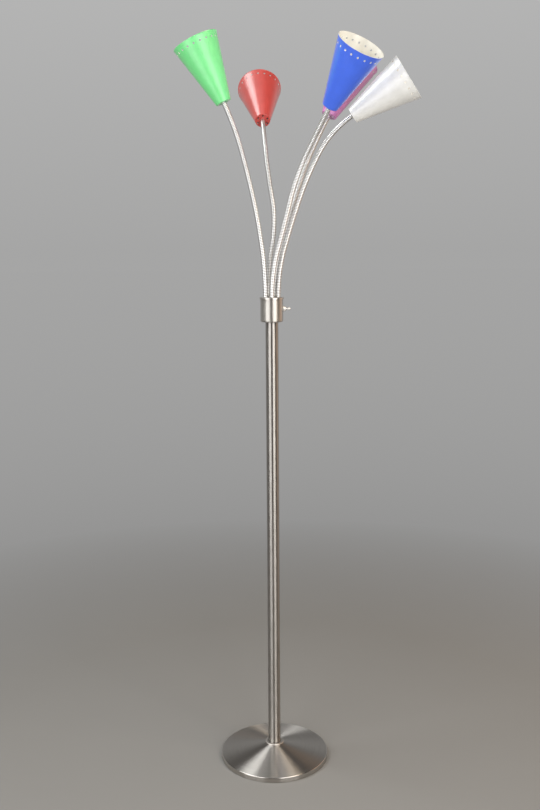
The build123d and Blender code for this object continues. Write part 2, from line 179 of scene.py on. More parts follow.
def add_node(tree, kind, inputs=None, **settings):
    """New node in a tree. Each input is a value, or another node's output to join it to."""
    node = tree.nodes.new(kind)
    for name, value in settings.items():
        setattr(node, name, value)
    for name, value in (inputs or {}).items():
        if isinstance(value, bpy.types.NodeSocket):
            tree.links.new(value, node.inputs[name])
        else:
            node.inputs[name].default_value = value
    return node


def mixed_colour(tree, share, low, high):
    """Colour that goes from low to high with a share."""
    mix = add_node(tree, "ShaderNodeMix", {0: share, 6: low, 7: high}, data_type="RGBA")
    return mix.outputs[2]


def mapped(tree, value, low, high, from_low=0.0, from_high=1.0):
    """Value mapped from one span to another and kept within it."""
    inputs = {"Value": value, "From Min": from_low, "From Max": from_high, "To Min": low, "To Max": high}
    return add_node(tree, "ShaderNodeMapRange", inputs).outputs[0]


def new_group(name, inputs, output):
    """Shader node group with named number or vector inputs and one number as its output."""
    group = bpy.data.node_groups.new(name, "ShaderNodeTree")
    for label, kind in inputs:
        group.interface.new_socket(name=label, in_out="INPUT", socket_type=kind)
    group.interface.new_socket(name=output, in_out="OUTPUT", socket_type="NodeSocketFloat")
    return group, group.nodes.new("NodeGroupInput"), group.nodes.new("NodeGroupOutput")


# Speckle at a size given in metres, for grain, fibres, cast skin and the haze of handling.
speckle, given, made = new_group(
    "speckle", [("Place", "NodeSocketVector"), ("Size", "NodeSocketFloat")], "Speckle"
)
fineness = add_node(speckle, "ShaderNodeMath", {0: 1.0, 1: given.outputs["Size"]}, operation="DIVIDE")
cloud = add_node(
    speckle,
    "ShaderNodeTexNoise",
    {"Vector": given.outputs["Place"], "Scale": fineness.outputs[0], "Detail": 4.0, "Roughness": 0.6},
)
speckle.links.new(mapped(speckle, cloud.outputs[0], 0, 1, 0.3, 0.7), made.inputs["Speckle"])


def speckles(tree, place, size):
    """Speckle group in a material's tree."""
    node = add_node(tree, "ShaderNodeGroup", node_tree=speckle)
    tree.links.new(place, node.inputs["Place"])
    node.inputs["Size"].default_value = size
    return node.outputs["Speckle"]


def new_material(name, roughness, metallic=0.0):
    """Material with its tree, its shader and its object coordinates."""
    material = bpy.data.materials.new(name)
    material.use_nodes = True
    tree = material.node_tree
    shader = tree.nodes["Principled BSDF"]
    shader.inputs["Roughness"].default_value = roughness
    shader.inputs["Metallic"].default_value = metallic
    return material, tree, shader, add_node(tree, "ShaderNodeTexCoord").outputs["Object"]


def raised(tree, shader, height, distance, strength=1.0):
    """Bump of a height in metres on a shader."""
    inputs = {"Height": height, "Distance": distance, "Strength": strength}
    bump = add_node(tree, "ShaderNodeBump", inputs)
    tree.links.new(bump.outputs[0], shader.inputs["Normal"])


def felt_material():
    """Matte fibres: two sizes of speckle in the colour and in the bump, with a soft sheen."""
    material, tree, shader, place = new_material("felt", 0.95)
    fibres = speckles(tree, place, 0.0007)
    tufts = speckles(tree, place, 0.006)
    dark = tuple(0.6 * c for c in felt_colour[:3]) + (1,)
    light = tuple(1.7 * c for c in felt_colour[:3]) + (1,)
    tree.links.new(mixed_colour(tree, fibres, dark, light), shader.inputs["Base Color"])
    both = add_node(tree, "ShaderNodeMath", {0: fibres, 1: tufts}, operation="ADD")
    raised(tree, shader, both.outputs[0], 0.0002)
    shader.inputs["Sheen Weight"].default_value = 0.3
    return material


def dress(piece, material, body, slot, *nodes):
    """Gives a piece its finish and its body, and hides the solids that it stands for. The slot is
    not used.
    """
    piece.data.materials.append(material)
    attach(piece, body)
    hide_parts(*nodes)


pad_low, pad_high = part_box("base_pad")
pad_radius = pad_high.x
felt_pad = turned_piece(
    "felt_pad",
    [
        (0, pad_low.z, 0),
        (pad_radius, pad_low.z, felt_edge_rounding),
        (pad_radius, pad_high.z, felt_edge_rounding),
        (0, pad_high.z, 0),
    ],
    columns=128,
)
dress(felt_pad, felt_material(), "stand", "felt", "base_pad")

# Weight
# A disc of grey cast iron with a boss, sand cast and left rough. It holds the cover up and keeps
# the lamp from tipping, and the stack's nut pulls against it from below.
iron_colour_low = (0.05, 0.049, 0.048, 1)
iron_colour_high = (0.13, 0.125, 0.12, 1)


def refinish(material, *nodes):
    """Gives solids that stay in view a finish."""
    for node in nodes:
        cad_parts[node].data.materials.clear()
        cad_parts[node].data.materials.append(material)


def cast_iron_material():
    """Dull grey skin with the pits of the sand and a little rust bloom."""
    material, tree, shader, place = new_material("cast_iron", 0.75, 0.6)
    sand = speckles(tree, place, 0.0012)
    bloom = speckles(tree, place, 0.03)
    tree.links.new(mixed_colour(tree, bloom, iron_colour_low, iron_colour_high), shader.inputs["Base Color"])
    raised(tree, shader, sand, 0.0003)
    return material


refinish(cast_iron_material(), "base_weight")

# Base cover
# A disc of steel spun over a former into an upright rim, a tight fold and a shallow cone, then
# brushed as it turns and nickel plated. The brushing fans each light out into a bright sector.
nickel_low = (0.42, 0.395, 0.365, 1)
nickel_high = (0.55, 0.525, 0.495, 1)
cover_wall = 0.0012
cover_rim_height = 0.0137
cover_land_radius = 0.024
cover_hole_radius = 0.00495
cover_fold_rounding = 0.0025
cover_edge_rounding = 0.0004
rubbed_blend = 0.0006
rubbed_roughness = 0.24
cover_land_rounding = 0.002
lines_per_turn = 9.0
line_depth = 0.000002
gloss_variation = 0.025

turning_lines, given, made = new_group(
    "turning_lines", [("Map", "NodeSocketVector"), ("Spacing", "NodeSocketFloat")], "Lines"
)
line_rate = add_node(
    turning_lines, "ShaderNodeMath", {0: 1.0, 1: given.outputs["Spacing"]}, operation="DIVIDE"
)
stretch = add_node(
    turning_lines, "ShaderNodeCombineXYZ", {"X": line_rate.outputs[0], "Y": lines_per_turn, "Z": 1.0}
)
along_lines = add_node(
    turning_lines,
    "ShaderNodeVectorMath",
    {0: given.outputs["Map"], 1: stretch.outputs[0]},
    operation="MULTIPLY",
)
lines = add_node(
    turning_lines,
    "ShaderNodeTexNoise",
    {"Vector": along_lines.outputs[0], "Scale": 1.0, "Detail": 3.0, "Roughness": 0.65},
)
turning_lines.links.new(mapped(turning_lines, lines.outputs[0], 0, 1, 0.3, 0.7), made.inputs["Lines"])


def brushed_nickel(name, roughness, spread, painted_light_tone=1.0, line_spacing=0.0004, rubbed_below=None):
    """Nickel with fine lines that run round the piece. The highlight spreads across the lines,
    which is along the map's first direction, and the lines and a faint haze vary its gloss. The
    tone is painted light and shade: it makes the whole piece lighter or darker for the light that
    piece catches. Below a height the piece is rubbed smoother."""
    material, tree, shader, place = new_material(name, roughness, 1.0)
    turning_map = add_node(tree, "ShaderNodeUVMap", uv_map="turning").outputs[0]
    group = add_node(tree, "ShaderNodeGroup", node_tree=turning_lines)
    tree.links.new(turning_map, group.inputs["Map"])
    group.inputs["Spacing"].default_value = line_spacing
    marks = group.outputs["Lines"]
    haze = speckles(tree, place, 0.05)
    dark = tuple(painted_light_tone * c for c in nickel_low[:3]) + (1,)
    light = tuple(painted_light_tone * c for c in nickel_high[:3]) + (1,)
    tree.links.new(mixed_colour(tree, marks, dark, light), shader.inputs["Base Color"])
    gloss = add_node(tree, "ShaderNodeMath", {0: marks, 1: haze}, operation="ADD")
    rough = mapped(tree, gloss.outputs[0], roughness - gloss_variation, roughness + gloss_variation, 0.0, 2.0)
    if rubbed_below is not None:
        height = add_node(tree, "ShaderNodeSeparateXYZ", {0: place}).outputs["Z"]
        share = mapped(tree, height, 0, 1, rubbed_below, rubbed_below + rubbed_blend)
        mix = add_node(tree, "ShaderNodeMix", {0: share, 2: rubbed_roughness, 3: rough})
        rough = mix.outputs[0]
    tree.links.new(rough, shader.inputs["Roughness"])
    shader.inputs["Anisotropic"].default_value = spread
    tangent = add_node(tree, "ShaderNodeTangent", direction_type="UV_MAP", uv_map="turning")
    tree.links.new(tangent.outputs[0], shader.inputs["Tangent"])
    raised(tree, shader, marks, line_depth)
    return material


# The tone here is painted light: it lightens the base's nickel for the light that its cone catches.
spun_nickel = brushed_nickel("spun_nickel", 0.35, 1.0, painted_light_tone=1.15, rubbed_below=cover_rim_height)
cover_low, cover_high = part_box("base_cover")
cover_radius = cover_high.x
cover_top = cover_high.z
cover_slope = atan2(cover_top - cover_rim_height, cover_radius - cover_land_radius)
wall_drop = cover_wall / cos(cover_slope)
cover_inner_radius = cover_radius - cover_wall
rise_per_length = (cover_top - cover_rim_height) / (cover_radius - cover_land_radius)
base_cover_shell = turned_piece(
    "base_cover_shell",
    [
        (cover_radius, cover_low.z, cover_edge_rounding),
        (cover_radius, cover_rim_height, cover_fold_rounding),
        (cover_land_radius, cover_top, cover_land_rounding),
        (cover_hole_radius, cover_top, cover_edge_rounding),
        (cover_hole_radius, cover_top - cover_wall, cover_edge_rounding),
        (cover_land_radius, cover_top - cover_wall, cover_land_rounding),
        (
            cover_inner_radius,
            cover_rim_height + cover_wall * rise_per_length - wall_drop,
            cover_edge_rounding,
        ),
        (cover_inner_radius, cover_low.z, cover_edge_rounding),
    ],
    closed=True,
    columns=256,
)
dress(base_cover_shell, spun_nickel, "stand", "nickel", "base_cover")

# Flex bushing
# A black moulded grommet pressed into the back of the base's rim, where the flex would go in.
# It has a flat flange outside and a plain sleeve inside.
bushing_flange_thickness = 0.0015
bushing_sleeve_radius = 0.0043
bushing_bore_radius = 0.003
bushing_edge_rounding = 0.0003


def plastic_material():
    """Black moulded plastic with a fine moulded grain."""
    material, tree, shader, place = new_material("black_plastic", 0.45)
    grain = speckles(tree, place, 0.0006)
    shade = mixed_colour(tree, speckles(tree, place, 0.01), (0.018, 0.018, 0.018, 1), (0.03, 0.03, 0.03, 1))
    tree.links.new(shade, shader.inputs["Base Color"])
    tree.links.new(mapped(tree, grain, 0.4, 0.55), shader.inputs["Roughness"])
    raised(tree, shader, grain, 0.00003)
    return material


black_plastic = plastic_material()
bushing_low, bushing_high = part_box("cord_bushing")
bushing_radius = bushing_high.x
bushing_level = (bushing_low.z + bushing_high.z) / 2
pointing_back = Matrix(((-1, 0, 0, 0), (0, 0, 1, 0), (0, 1, 0, bushing_level), (0, 0, 0, 1)))
flange_face = bushing_high.y - bushing_flange_thickness
flex_bushing = turned_piece(
    "flex_bushing",
    [
        (bushing_bore_radius, bushing_low.y, bushing_edge_rounding),
        (bushing_sleeve_radius, bushing_low.y, bushing_edge_rounding),
        (bushing_sleeve_radius, flange_face, bushing_edge_rounding),
        (bushing_radius, flange_face, bushing_edge_rounding),
        (bushing_radius, bushing_high.y, 2 * bushing_edge_rounding),
        (bushing_bore_radius, bushing_high.y, 2 * bushing_edge_rounding),
    ],
    closed=True,
    columns=48,
    stand=pointing_back,
)
dress(flex_bushing, black_plastic, "stand", "black_plastic", "cord_bushing")

# Threaded tubes, nuts and washer
# Zinc plated steel parts that clamp the base and the hub to the pole and the necks and sockets to
# their seats. They are inside the lamp, and keep the plain look of hardware from a drawer.
zinc_low = (0.46, 0.45, 0.42, 1)
zinc_high = (0.62, 0.61, 0.56, 1)


def zinc_material():
    """Zinc plating: patchy bright grey, a little yellow, with a fine satin grain."""
    material, tree, shader, place = new_material("zinc_plate", 0.35, 1.0)
    patches = speckles(tree, place, 0.004)
    tree.links.new(mixed_colour(tree, patches, zinc_low, zinc_high), shader.inputs["Base Color"])
    tree.links.new(mapped(tree, patches, 0.28, 0.45), shader.inputs["Roughness"])
    raised(tree, shader, speckles(tree, place, 0.0005), 0.00002)
    return material


zinc_plate = zinc_material()
refinish(
    zinc_plate,
    *("base_washer", "base_nut", "base_stem", "pole_coupler_lower", "pole_coupler_upper"),
    *("pole_foot_plug", "pole_head_plug", "hub_nut", "hub_stem", "neck_root_nipples", "neck_root_nuts"),
)

# Pole ring
# A low ring turned from bar, with a full round edge, that sits on the cover's flat land. The
# pole's foot stands in a recess in its top, which shows as a dark line round it.
ring_recess = 0.0016
ring_edge_rounding = 0.002
ring_groove = 0.0012
fine_rounding = 0.0002

# The tone here is painted light: it lightens the ring's nickel well past the rest, for the light on its round
# edge.
satin_nickel = brushed_nickel("satin_nickel", 0.42, 0.0, painted_light_tone=1.4)
ring_low, ring_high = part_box("pole_ring")
ring_radius = ring_high.x
pole_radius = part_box("pole_lower")[1].x
pole_ring_turned = turned_piece(
    "pole_ring_turned",
    [
        (cover_hole_radius, ring_low.z, fine_rounding),
        (ring_radius, ring_low.z, fine_rounding),
        (ring_radius, ring_high.z, ring_edge_rounding),
        (pole_radius + ring_groove, ring_high.z, fine_rounding),
        (pole_radius + ring_groove, ring_high.z - ring_recess, fine_rounding),
        (cover_hole_radius, ring_high.z - ring_recess, fine_rounding),
    ],
    closed=True,
    columns=128,
)
dress(pole_ring_turned, satin_nickel, "stand", "nickel", "pole_ring")

# Pole
# Three equal lengths of nickel plated steel tube, brushed round and round. Threaded inserts join
# them end to end, and a fine line shows where two lengths meet.
pole_wall = 0.0012
pole_end_rounding = 0.0004

# The tone here is painted shade: it darkens the pole's nickel below the rest.
pole_nickel = brushed_nickel("pole_nickel", 0.32, 1.0, painted_light_tone=0.88)
for node in ("pole_lower", "pole_middle", "pole_upper"):
    tube_low, tube_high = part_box(node)
    tube = turned_piece(
        node + "_tube",
        [
            (pole_radius - pole_wall, tube_low.z, fine_rounding),
            (pole_radius, tube_low.z, pole_end_rounding),
            (pole_radius, tube_high.z, pole_end_rounding),
            (pole_radius - pole_wall, tube_high.z, fine_rounding),
        ],
        closed=True,
        columns=128,
    )
    dress(tube, pole_nickel, "stand", "nickel", node)

# Hub cup
# A cup drawn from the same sheet as the base, with a rounded bottom edge, brushed round like the
# pole. It hides the wiring and the switch.
cup_wall = 0.0012
cup_bottom_rounding = 0.004

# The tone here is painted light: it lightens the cup's nickel past the base's, though both are one sheet.
hub_nickel = brushed_nickel("hub_nickel", 0.42, 0.9, painted_light_tone=1.25)
cup_low, cup_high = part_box("hub_cup")
cup_radius = cup_high.x
hub_cup_shell = turned_piece(
    "hub_cup_shell",
    [
        (cover_hole_radius, cup_low.z, fine_rounding),
        (cup_radius, cup_low.z, cup_bottom_rounding),
        (cup_radius, cup_high.z, fine_rounding),
        (cup_radius - cup_wall, cup_high.z, fine_rounding),
        (cup_radius - cup_wall, cup_low.z + cup_wall, cup_bottom_rounding - cup_wall),
        (cover_hole_radius, cup_low.z + cup_wall, fine_rounding),
    ],
    closed=True,
    columns=128,
    steps=10,
)
dress(hub_cup_shell, hub_nickel, "stand", "nickel", "hub_cup")

# Switch in the hub
# A boxed rotary switch of black moulded plastic behind the cup's wall. Its bushing comes out
# through the wall and takes the nut.
refinish(black_plastic, "switch_body")

# Hub lid
# A shallow pressed lid that drops over the cup, with a short skirt that stands a little proud of
# it and casts a fine dark line. Its top has a ring of five holes for the necks.
lid_thickness = 0.0016
lid_skirt_fit = 0.0001
lid_edge_rounding = 0.0006

lid_low, lid_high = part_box("hub_lid")
lid_radius = lid_high.x
skirt_inner_radius = cup_radius + lid_skirt_fit
# The tone here is painted light: it lightens the lid's nickel for the light that it catches.
lid_nickel = brushed_nickel("lid_nickel", 0.36, 0.85, painted_light_tone=1.3)
hub_lid_shell = turned_piece(
    "hub_lid_shell",
    [
        (cover_hole_radius, lid_high.z - lid_thickness, fine_rounding),
        (skirt_inner_radius, lid_high.z - lid_thickness, fine_rounding),
        (skirt_inner_radius, lid_low.z, fine_rounding),
        (lid_radius, lid_low.z, lid_edge_rounding),
        (lid_radius, lid_high.z, lid_edge_rounding),
        (cover_hole_radius, lid_high.z, fine_rounding),
    ],
    closed=True,
    columns=128,
)
dress(hub_lid_shell, lid_nickel, "stand", "nickel", "hub_lid")

# Cap nut
# A small round nut with a bevelled top, turned from nickel plated brass. It holds the lid down on
# the hub's threaded tube, in the middle of the ring of necks.
cap_bevel = 0.002
cap_bevel_rounding = 0.0006

cap_low, cap_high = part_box("lid_cap_nut")
cap_radius = cap_high.x
cap_nut = turned_piece(
    "cap_nut",
    [
        (0, cap_low.z, 0),
        (cap_radius, cap_low.z, fine_rounding),
        (cap_radius, cap_high.z - cap_bevel, cap_bevel_rounding),
        (cap_radius - cap_bevel, cap_high.z, cap_bevel_rounding),
        (0, cap_high.z, 0),
    ],
    columns=64,
)
dress(cap_nut, lid_nickel, "stand", "nickel", "lid_cap_nut")

# Switch nut
# A flared nut of polished nickel plated brass that pulls the switch's bushing against the cup.
# It narrows towards the knob.
nut_face_length = 0.001
nut_tip_radius = 0.0042
nut_bore_radius = 0.0034
nut_edge_rounding = 0.0004
bright_nickel_low = (0.92, 0.91, 0.88, 1)
bright_nickel_high = (0.96, 0.95, 0.93, 1)


def polished_nickel_material():
    """Bright plating with a soft gloss and faint smears from fingers."""
    material, tree, shader, place = new_material("polished_nickel", 0.58, 1.0)
    smears = speckles(tree, place, 0.008)
    plating = mixed_colour(tree, smears, bright_nickel_low, bright_nickel_high)
    tree.links.new(plating, shader.inputs["Base Color"])
    tree.links.new(mapped(tree, smears, 0.54, 0.62), shader.inputs["Roughness"])
    return material


polished_nickel = polished_nickel_material()
nut_low, nut_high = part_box("switch_nut")
nut_radius = nut_high.y
switch_level = (nut_low.z + nut_high.z) / 2
pointing_right = Matrix(((0, 0, 1, 0), (1, 0, 0, 0), (0, 1, 0, switch_level), (0, 0, 0, 1)))
flared_nut = turned_piece(
    "flared_nut",
    [
        (nut_bore_radius, nut_low.x, fine_rounding),
        (nut_radius, nut_low.x, fine_rounding),
        (nut_radius, nut_low.x + nut_face_length, nut_edge_rounding),
        (nut_tip_radius, nut_high.x, nut_edge_rounding),
        (nut_bore_radius, nut_high.x, fine_rounding),
    ],
    closed=True,
    columns=64,
    stand=pointing_right,
)
dress(flared_nut, polished_nickel, "stand", "bright_nickel", "switch_nut")

# Switch knob
# A turned knob of polished nickel plated brass: a spindle, a narrow waist and a small ball to
# take between finger and thumb. It turns on and on.
knob_spindle_radius = 0.00155
knob_waist_radius = 0.0022
knob_waist_start = 0.0354
knob_waist_rounding = 0.0012
knob_ball_radius = 0.0039
knob_waist_length_past_foot = 0.0006
knob_ball_shoulder = 0.0011

knob_low, knob_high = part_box("switch_knob")
knob_ball_foot = knob_high.x - 2 * knob_ball_radius
knob_turned = turned_piece(
    "knob_turned",
    [
        (0, knob_low.x, 0),
        (knob_spindle_radius, knob_low.x, fine_rounding),
        (knob_spindle_radius, knob_waist_start, fine_rounding / 2),
        (knob_waist_radius, knob_waist_start, fine_rounding),
        (knob_waist_radius, knob_ball_foot + knob_waist_length_past_foot, knob_waist_rounding / 2),
        (knob_ball_radius, knob_ball_foot + knob_ball_shoulder, knob_ball_radius * 0.62),
        (knob_ball_radius, knob_high.x, knob_ball_radius * 0.98),
        (0, knob_high.x, 0),
    ],
    columns=64,
    steps=16,
    stand=pointing_right,
)
dress(knob_turned, polished_nickel, "knob", "bright_nickel", "switch_knob")

# Necks
# Five flexible tubes of one length, each wound from half-round and three-cornered steel wire and
# nickel plated, so that it has fine slanting ribs and stays as it is bent. Each is two meshes that
# meet at its middle; the neck itself bends over a lower and an upper joint.
neck_colours = ("blue", "white", "pink", "red", "green")
neck_bend_angles = {
    "blue": ((18, 30), (22, 52), (33, 320), (39, 311)),
    "white": ((21, 41), (21, 26), (28, 355), (58, 346)),
    "pink": ((20, 38), (24, 51), (30, 42), (30, 23)),
    "red": ((13, 35), (19, 119), (30, 99), (52, 94)),
    "green": ((11, 132), (17, 135), (18, 147), (25, 180)),
}
neck_length = 0.485
neck_radius = 0.0059
neck_bore_radius = 0.0035
neck_circle_radius = 0.0162944
neck_first_heading = 272.0
rib_pitch = 0.0038
rib_depth = 0.00055
rib_rows = 8
neck_columns = 24
bore_row_gap = 0.006
# Painted shade: the dark grey that fills the grooves between the neck's ribs.
painted_groove_shade = (0.22, 0.21, 0.19, 1)
crown_colour_low = (0.90, 0.90, 0.895, 1)
crown_colour_high = (0.95, 0.95, 0.945, 1)
neck_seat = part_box("gooseneck_blue")[0].z


def leaning(lean, heading):
    """Direction that leans from upright towards a heading, both in degrees."""
    side = sin(radians(lean))
    return np.array([side * cos(radians(heading)), side * sin(radians(heading)), cos(radians(lean))])


def neck_line(colour, lengths):
    """Places and directions at lengths along a neck, which is four equal arcs. On an arc that
    starts at p along a and turns towards n with radius r, the place after a turn w is
    p + r * (sin(w) * a + (1 - cos(w)) * n) and the direction is cos(w) * a + sin(w) * n."""
    hole = radians(neck_first_heading + neck_colours.index(colour) * 360 / len(neck_colours))
    start = np.array([neck_circle_radius * cos(hole), neck_circle_radius * sin(hole), neck_seat])
    arc_length = neck_length / len(neck_bend_angles[colour])
    places = np.empty(lengths.shape + (3,))
    directions = np.empty_like(places)
    along = np.array([0.0, 0.0, 1.0])
    for number, (lean, heading) in enumerate(neck_bend_angles[colour]):
        onward = leaning(lean, heading)
        turn = np.arccos(np.clip(along @ onward, -1, 1))
        inner = (onward - (along @ onward) * along) / np.sin(turn)
        here = (lengths >= number * arc_length) | (number == 0)
        w = (lengths[here] / arc_length - number)[:, None] * turn
        reach = arc_length / turn
        places[here] = start + reach * (np.sin(w) * along + (1 - np.cos(w)) * inner)
        directions[here] = np.cos(w) * along + np.sin(w) * inner
        start = start + reach * (np.sin(turn) * along + (1 - np.cos(turn)) * inner)
        along = onward
    return places, directions


def round_neck(colour, lengths, radii, angles):
    """Places round a neck's line: line + radius * (cos(angle) * side + sin(angle) * front)."""
    line, direction = neck_line(colour, lengths)
    side = np.cross(direction, (0.0, 1.0, 0.0))
    side /= np.linalg.norm(side, axis=-1, keepdims=True)
    front = np.cross(direction, side)
    cosine, sine = np.cos(angles)[..., None], np.sin(angles)[..., None]
    return line + radii[..., None] * (cosine * side + sine * front)


def rib_drop(lengths, turns):
    """How deep the surface lies in the groove between ribs, from 0 to 1. Across one rib x goes
    from -1 to 1 and the drop is 1 - sqrt(1 - x * x). The ribs climb one pitch in each turn and
    fade out within a pitch of the neck's ends."""
    x = 2 * np.mod(lengths / rib_pitch - turns, 1) - 1
    fade = np.clip(np.minimum(lengths, neck_length - lengths) / rib_pitch, 0, 1)
    return (1 - np.sqrt(1 - x * x)) * fade


def neck_part(name, colour, first, last):
    """Stretch of ribbed tube from one length along the neck to another. The rows of its grid
    follow the ribs, so they slant: length = pitch * (row / rows per rib + column / columns), kept
    between first and last. A plain bore and two flat ends close it."""
    per_length = rib_rows / rib_pitch
    row = np.arange(np.floor(first * per_length) - rib_rows, np.ceil(last * per_length) + 1)[:, None]
    column = np.arange(neck_columns)[None, :]
    lengths = np.clip(rib_pitch * (row / rib_rows + column / neck_columns), first, last)
    turns = column / neck_columns + 0 * row
    drop = rib_drop(lengths, turns)
    ribbed = round_neck(colour, lengths, neck_radius - rib_depth * drop, 2 * pi * turns)
    rows = len(row)
    step_row = np.minimum(np.arange(rows - 1)[:, None, None] + np.array([0, 0, 1, 1]), rows - 1)
    step_column = np.arange(neck_columns)[None, :, None] + np.array([0, 1, 1, 0])
    climbed = np.minimum(step_row + rib_rows * (step_column == neck_columns), rows - 1)
    outer_faces = (climbed * neck_columns + step_column % neck_columns).reshape(-1, 4)

    bore_rows = int((last - first) / bore_row_gap)
    bore_lengths = np.concatenate([[last], np.linspace(last, first, bore_rows), [first]])[:, None]
    bore_lengths = bore_lengths + 0 * column
    bore_turns = column / neck_columns + 0 * bore_lengths
    bore_radii = np.full(bore_lengths.shape, neck_bore_radius)
    bore_radii[[0, -1]] = neck_radius - rib_depth * rib_drop(bore_lengths, bore_turns)[[0, -1]]
    bored = round_neck(colour, bore_lengths, bore_radii, 2 * pi * bore_turns)
    bore_faces = grid_faces(len(bored), neck_columns, first=ribbed.shape[0] * neck_columns)

    piece = surface_piece(
        name,
        np.concatenate([ribbed.reshape(-1, 3), bored.reshape(-1, 3)]),
        np.concatenate([outer_faces, bore_faces]),
        np.concatenate([lengths.ravel(), bore_lengths.ravel()]),
        np.concatenate([turns.ravel(), bore_turns.ravel()]),
    )
    piece.data.set_sharp_from_angle(angle=radians(65))
    return piece


def neck_material():
    """Plated wire windings: bright crowns, and painted shade that darkens the grooves between
    them. The groove mask is the same rib formula on the map's length and turn."""
    material, tree, shader, place = new_material("neck_nickel", 0.22, 1.0)
    turning_map = add_node(tree, "ShaderNodeUVMap", uv_map="turning").outputs[0]
    split = add_node(tree, "ShaderNodeSeparateXYZ", {0: turning_map})
    ribs = add_node(tree, "ShaderNodeMath", {0: split.outputs[0], 1: 1 / rib_pitch}, operation="MULTIPLY")
    phase = add_node(tree, "ShaderNodeMath", {0: ribs.outputs[0], 1: split.outputs[1]}, operation="SUBTRACT")
    from_groove = add_node(tree, "ShaderNodeMath", {0: phase.outputs[0], 1: 0.5}, operation="PINGPONG")
    crown = mapped(tree, from_groove.outputs[0], 0, 1, 0.04, 0.26)
    haze = speckles(tree, place, 0.012)
    bright = mixed_colour(tree, haze, crown_colour_low, crown_colour_high)
    tree.links.new(mixed_colour(tree, crown, painted_groove_shade, bright), shader.inputs["Base Color"])
    tree.links.new(mapped(tree, crown, 0.5, 0.28), shader.inputs["Roughness"])
    return material


neck_nickel = neck_material()
for colour in neck_colours:
    node = "gooseneck_" + colour
    foot, middle, tip = neck_line(colour, np.array([0, neck_length / 2, neck_length]))[0]
    lower = neck_part(f"neck_{colour}_lower", colour, 0.0, neck_length / 2)
    upper = neck_part(f"neck_{colour}_upper", colour, neck_length / 2, neck_length)
    for part, bodies, ends in (
        (lower, ("stand", colour + "_arm"), (foot, middle)),
        (upper, (colour + "_arm", colour + "_head"), (middle, tip)),
    ):
        part.data.materials.append(neck_nickel)
        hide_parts(node)
        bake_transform(part)

# Shades
# Cones spun from thin sheet, with a flat foot, a turned rim, a ring of round holes near the rim
# and six vents in the foot. They are enamelled in a colour outside and in cream inside, and the
# neck's tube clamps each one by its foot.
shade_wall = 0.0008
shade_length = 0.1575
shade_foot_hole_radius = 0.00515
shade_small_radius = 0.01905
shade_cone_radius = 0.05655
shade_rim_radius = 0.05715
shade_rim_height = 0.0018
shade_foot_rounding = 0.0016
shade_rim_rounding = 0.0005
shade_columns = 180
rim_hole_count = 20
rim_hole_radius = 0.0024
rim_hole_depth = 0.0145
rim_band_half_height = 0.0045
vent_count = 6
vent_radius = 0.0023
vent_circle_radius = 0.0135
vent_band_half_height = 0.0034
hole_rings = 4
seat_gap = 0.0003
cream_colour = (0.86, 0.845, 0.77, 1)
shade_finish = {
    "blue": (0.052, 0.165, 0.95, 1),
    "white": (0.91, 0.905, 0.86, 1),
    "pink": (0.66, 0.22, 0.55, 1),
    "red": (0.65, 0.064, 0.051, 1),
    "green": (0.21, 0.88, 0.30, 1),
}
shade_first_turn = {"blue": 0.0125, "white": 0.024, "pink": 0.0, "red": 0.0065, "green": 0.0065}


def holed_band(count, columns, low, high, middle_radius, hole_radius, first_turn):
    """Grid of turns and lengths for a band with a row of round holes. The band is cut into as many
    cells as holes, and in each cell a point goes from the hole's edge to the cell's border:
    edge + share * (border - edge), for even shares."""
    across = columns // count
    up = 6
    side_x = np.linspace(-1, 1, across + 1)[:-1]
    side_y = np.linspace(-1, 1, up + 1)[:-1]
    border_x = np.concatenate([side_x, np.ones(up), -side_x, -np.ones(up)])
    border_y = np.concatenate([-np.ones(across), side_y, np.ones(across), -side_y])
    half_turn = 0.5 / count
    half_height = (high - low) / 2
    half_width = half_turn * 2 * pi * middle_radius
    bearing = np.arctan2(border_y * half_height, border_x * half_width)
    edge_x = hole_radius * np.cos(bearing) / half_width
    edge_y = hole_radius * np.sin(bearing) / half_height
    share = np.linspace(0, 1, hole_rings + 1)[:, None]
    cell_turn = half_turn * (edge_x + share * (border_x - edge_x))
    cell_length = (low + high) / 2 + half_height * (edge_y + share * (border_y - edge_y))
    centres = first_turn + (np.arange(count)[:, None, None] + 0.5) / count
    turns = centres + cell_turn
    lengths = cell_length + 0 * turns
    rings, rounds = share.size, border_x.size
    cell_faces = grid_faces(rings, rounds)[:, ::-1]
    faces = (cell_faces[None] + (np.arange(count) * rings * rounds)[:, None, None]).reshape(-1, 4)
    return turns.ravel(), lengths.ravel(), faces


def plain_band(lengths, first_turn):
    """Grid of turns and lengths for a band without holes."""
    turns, lengths = np.meshgrid(first_turn + np.arange(shade_columns) / shade_columns, lengths)
    return turns.ravel(), lengths.ravel(), grid_faces(len(lengths), shade_columns)


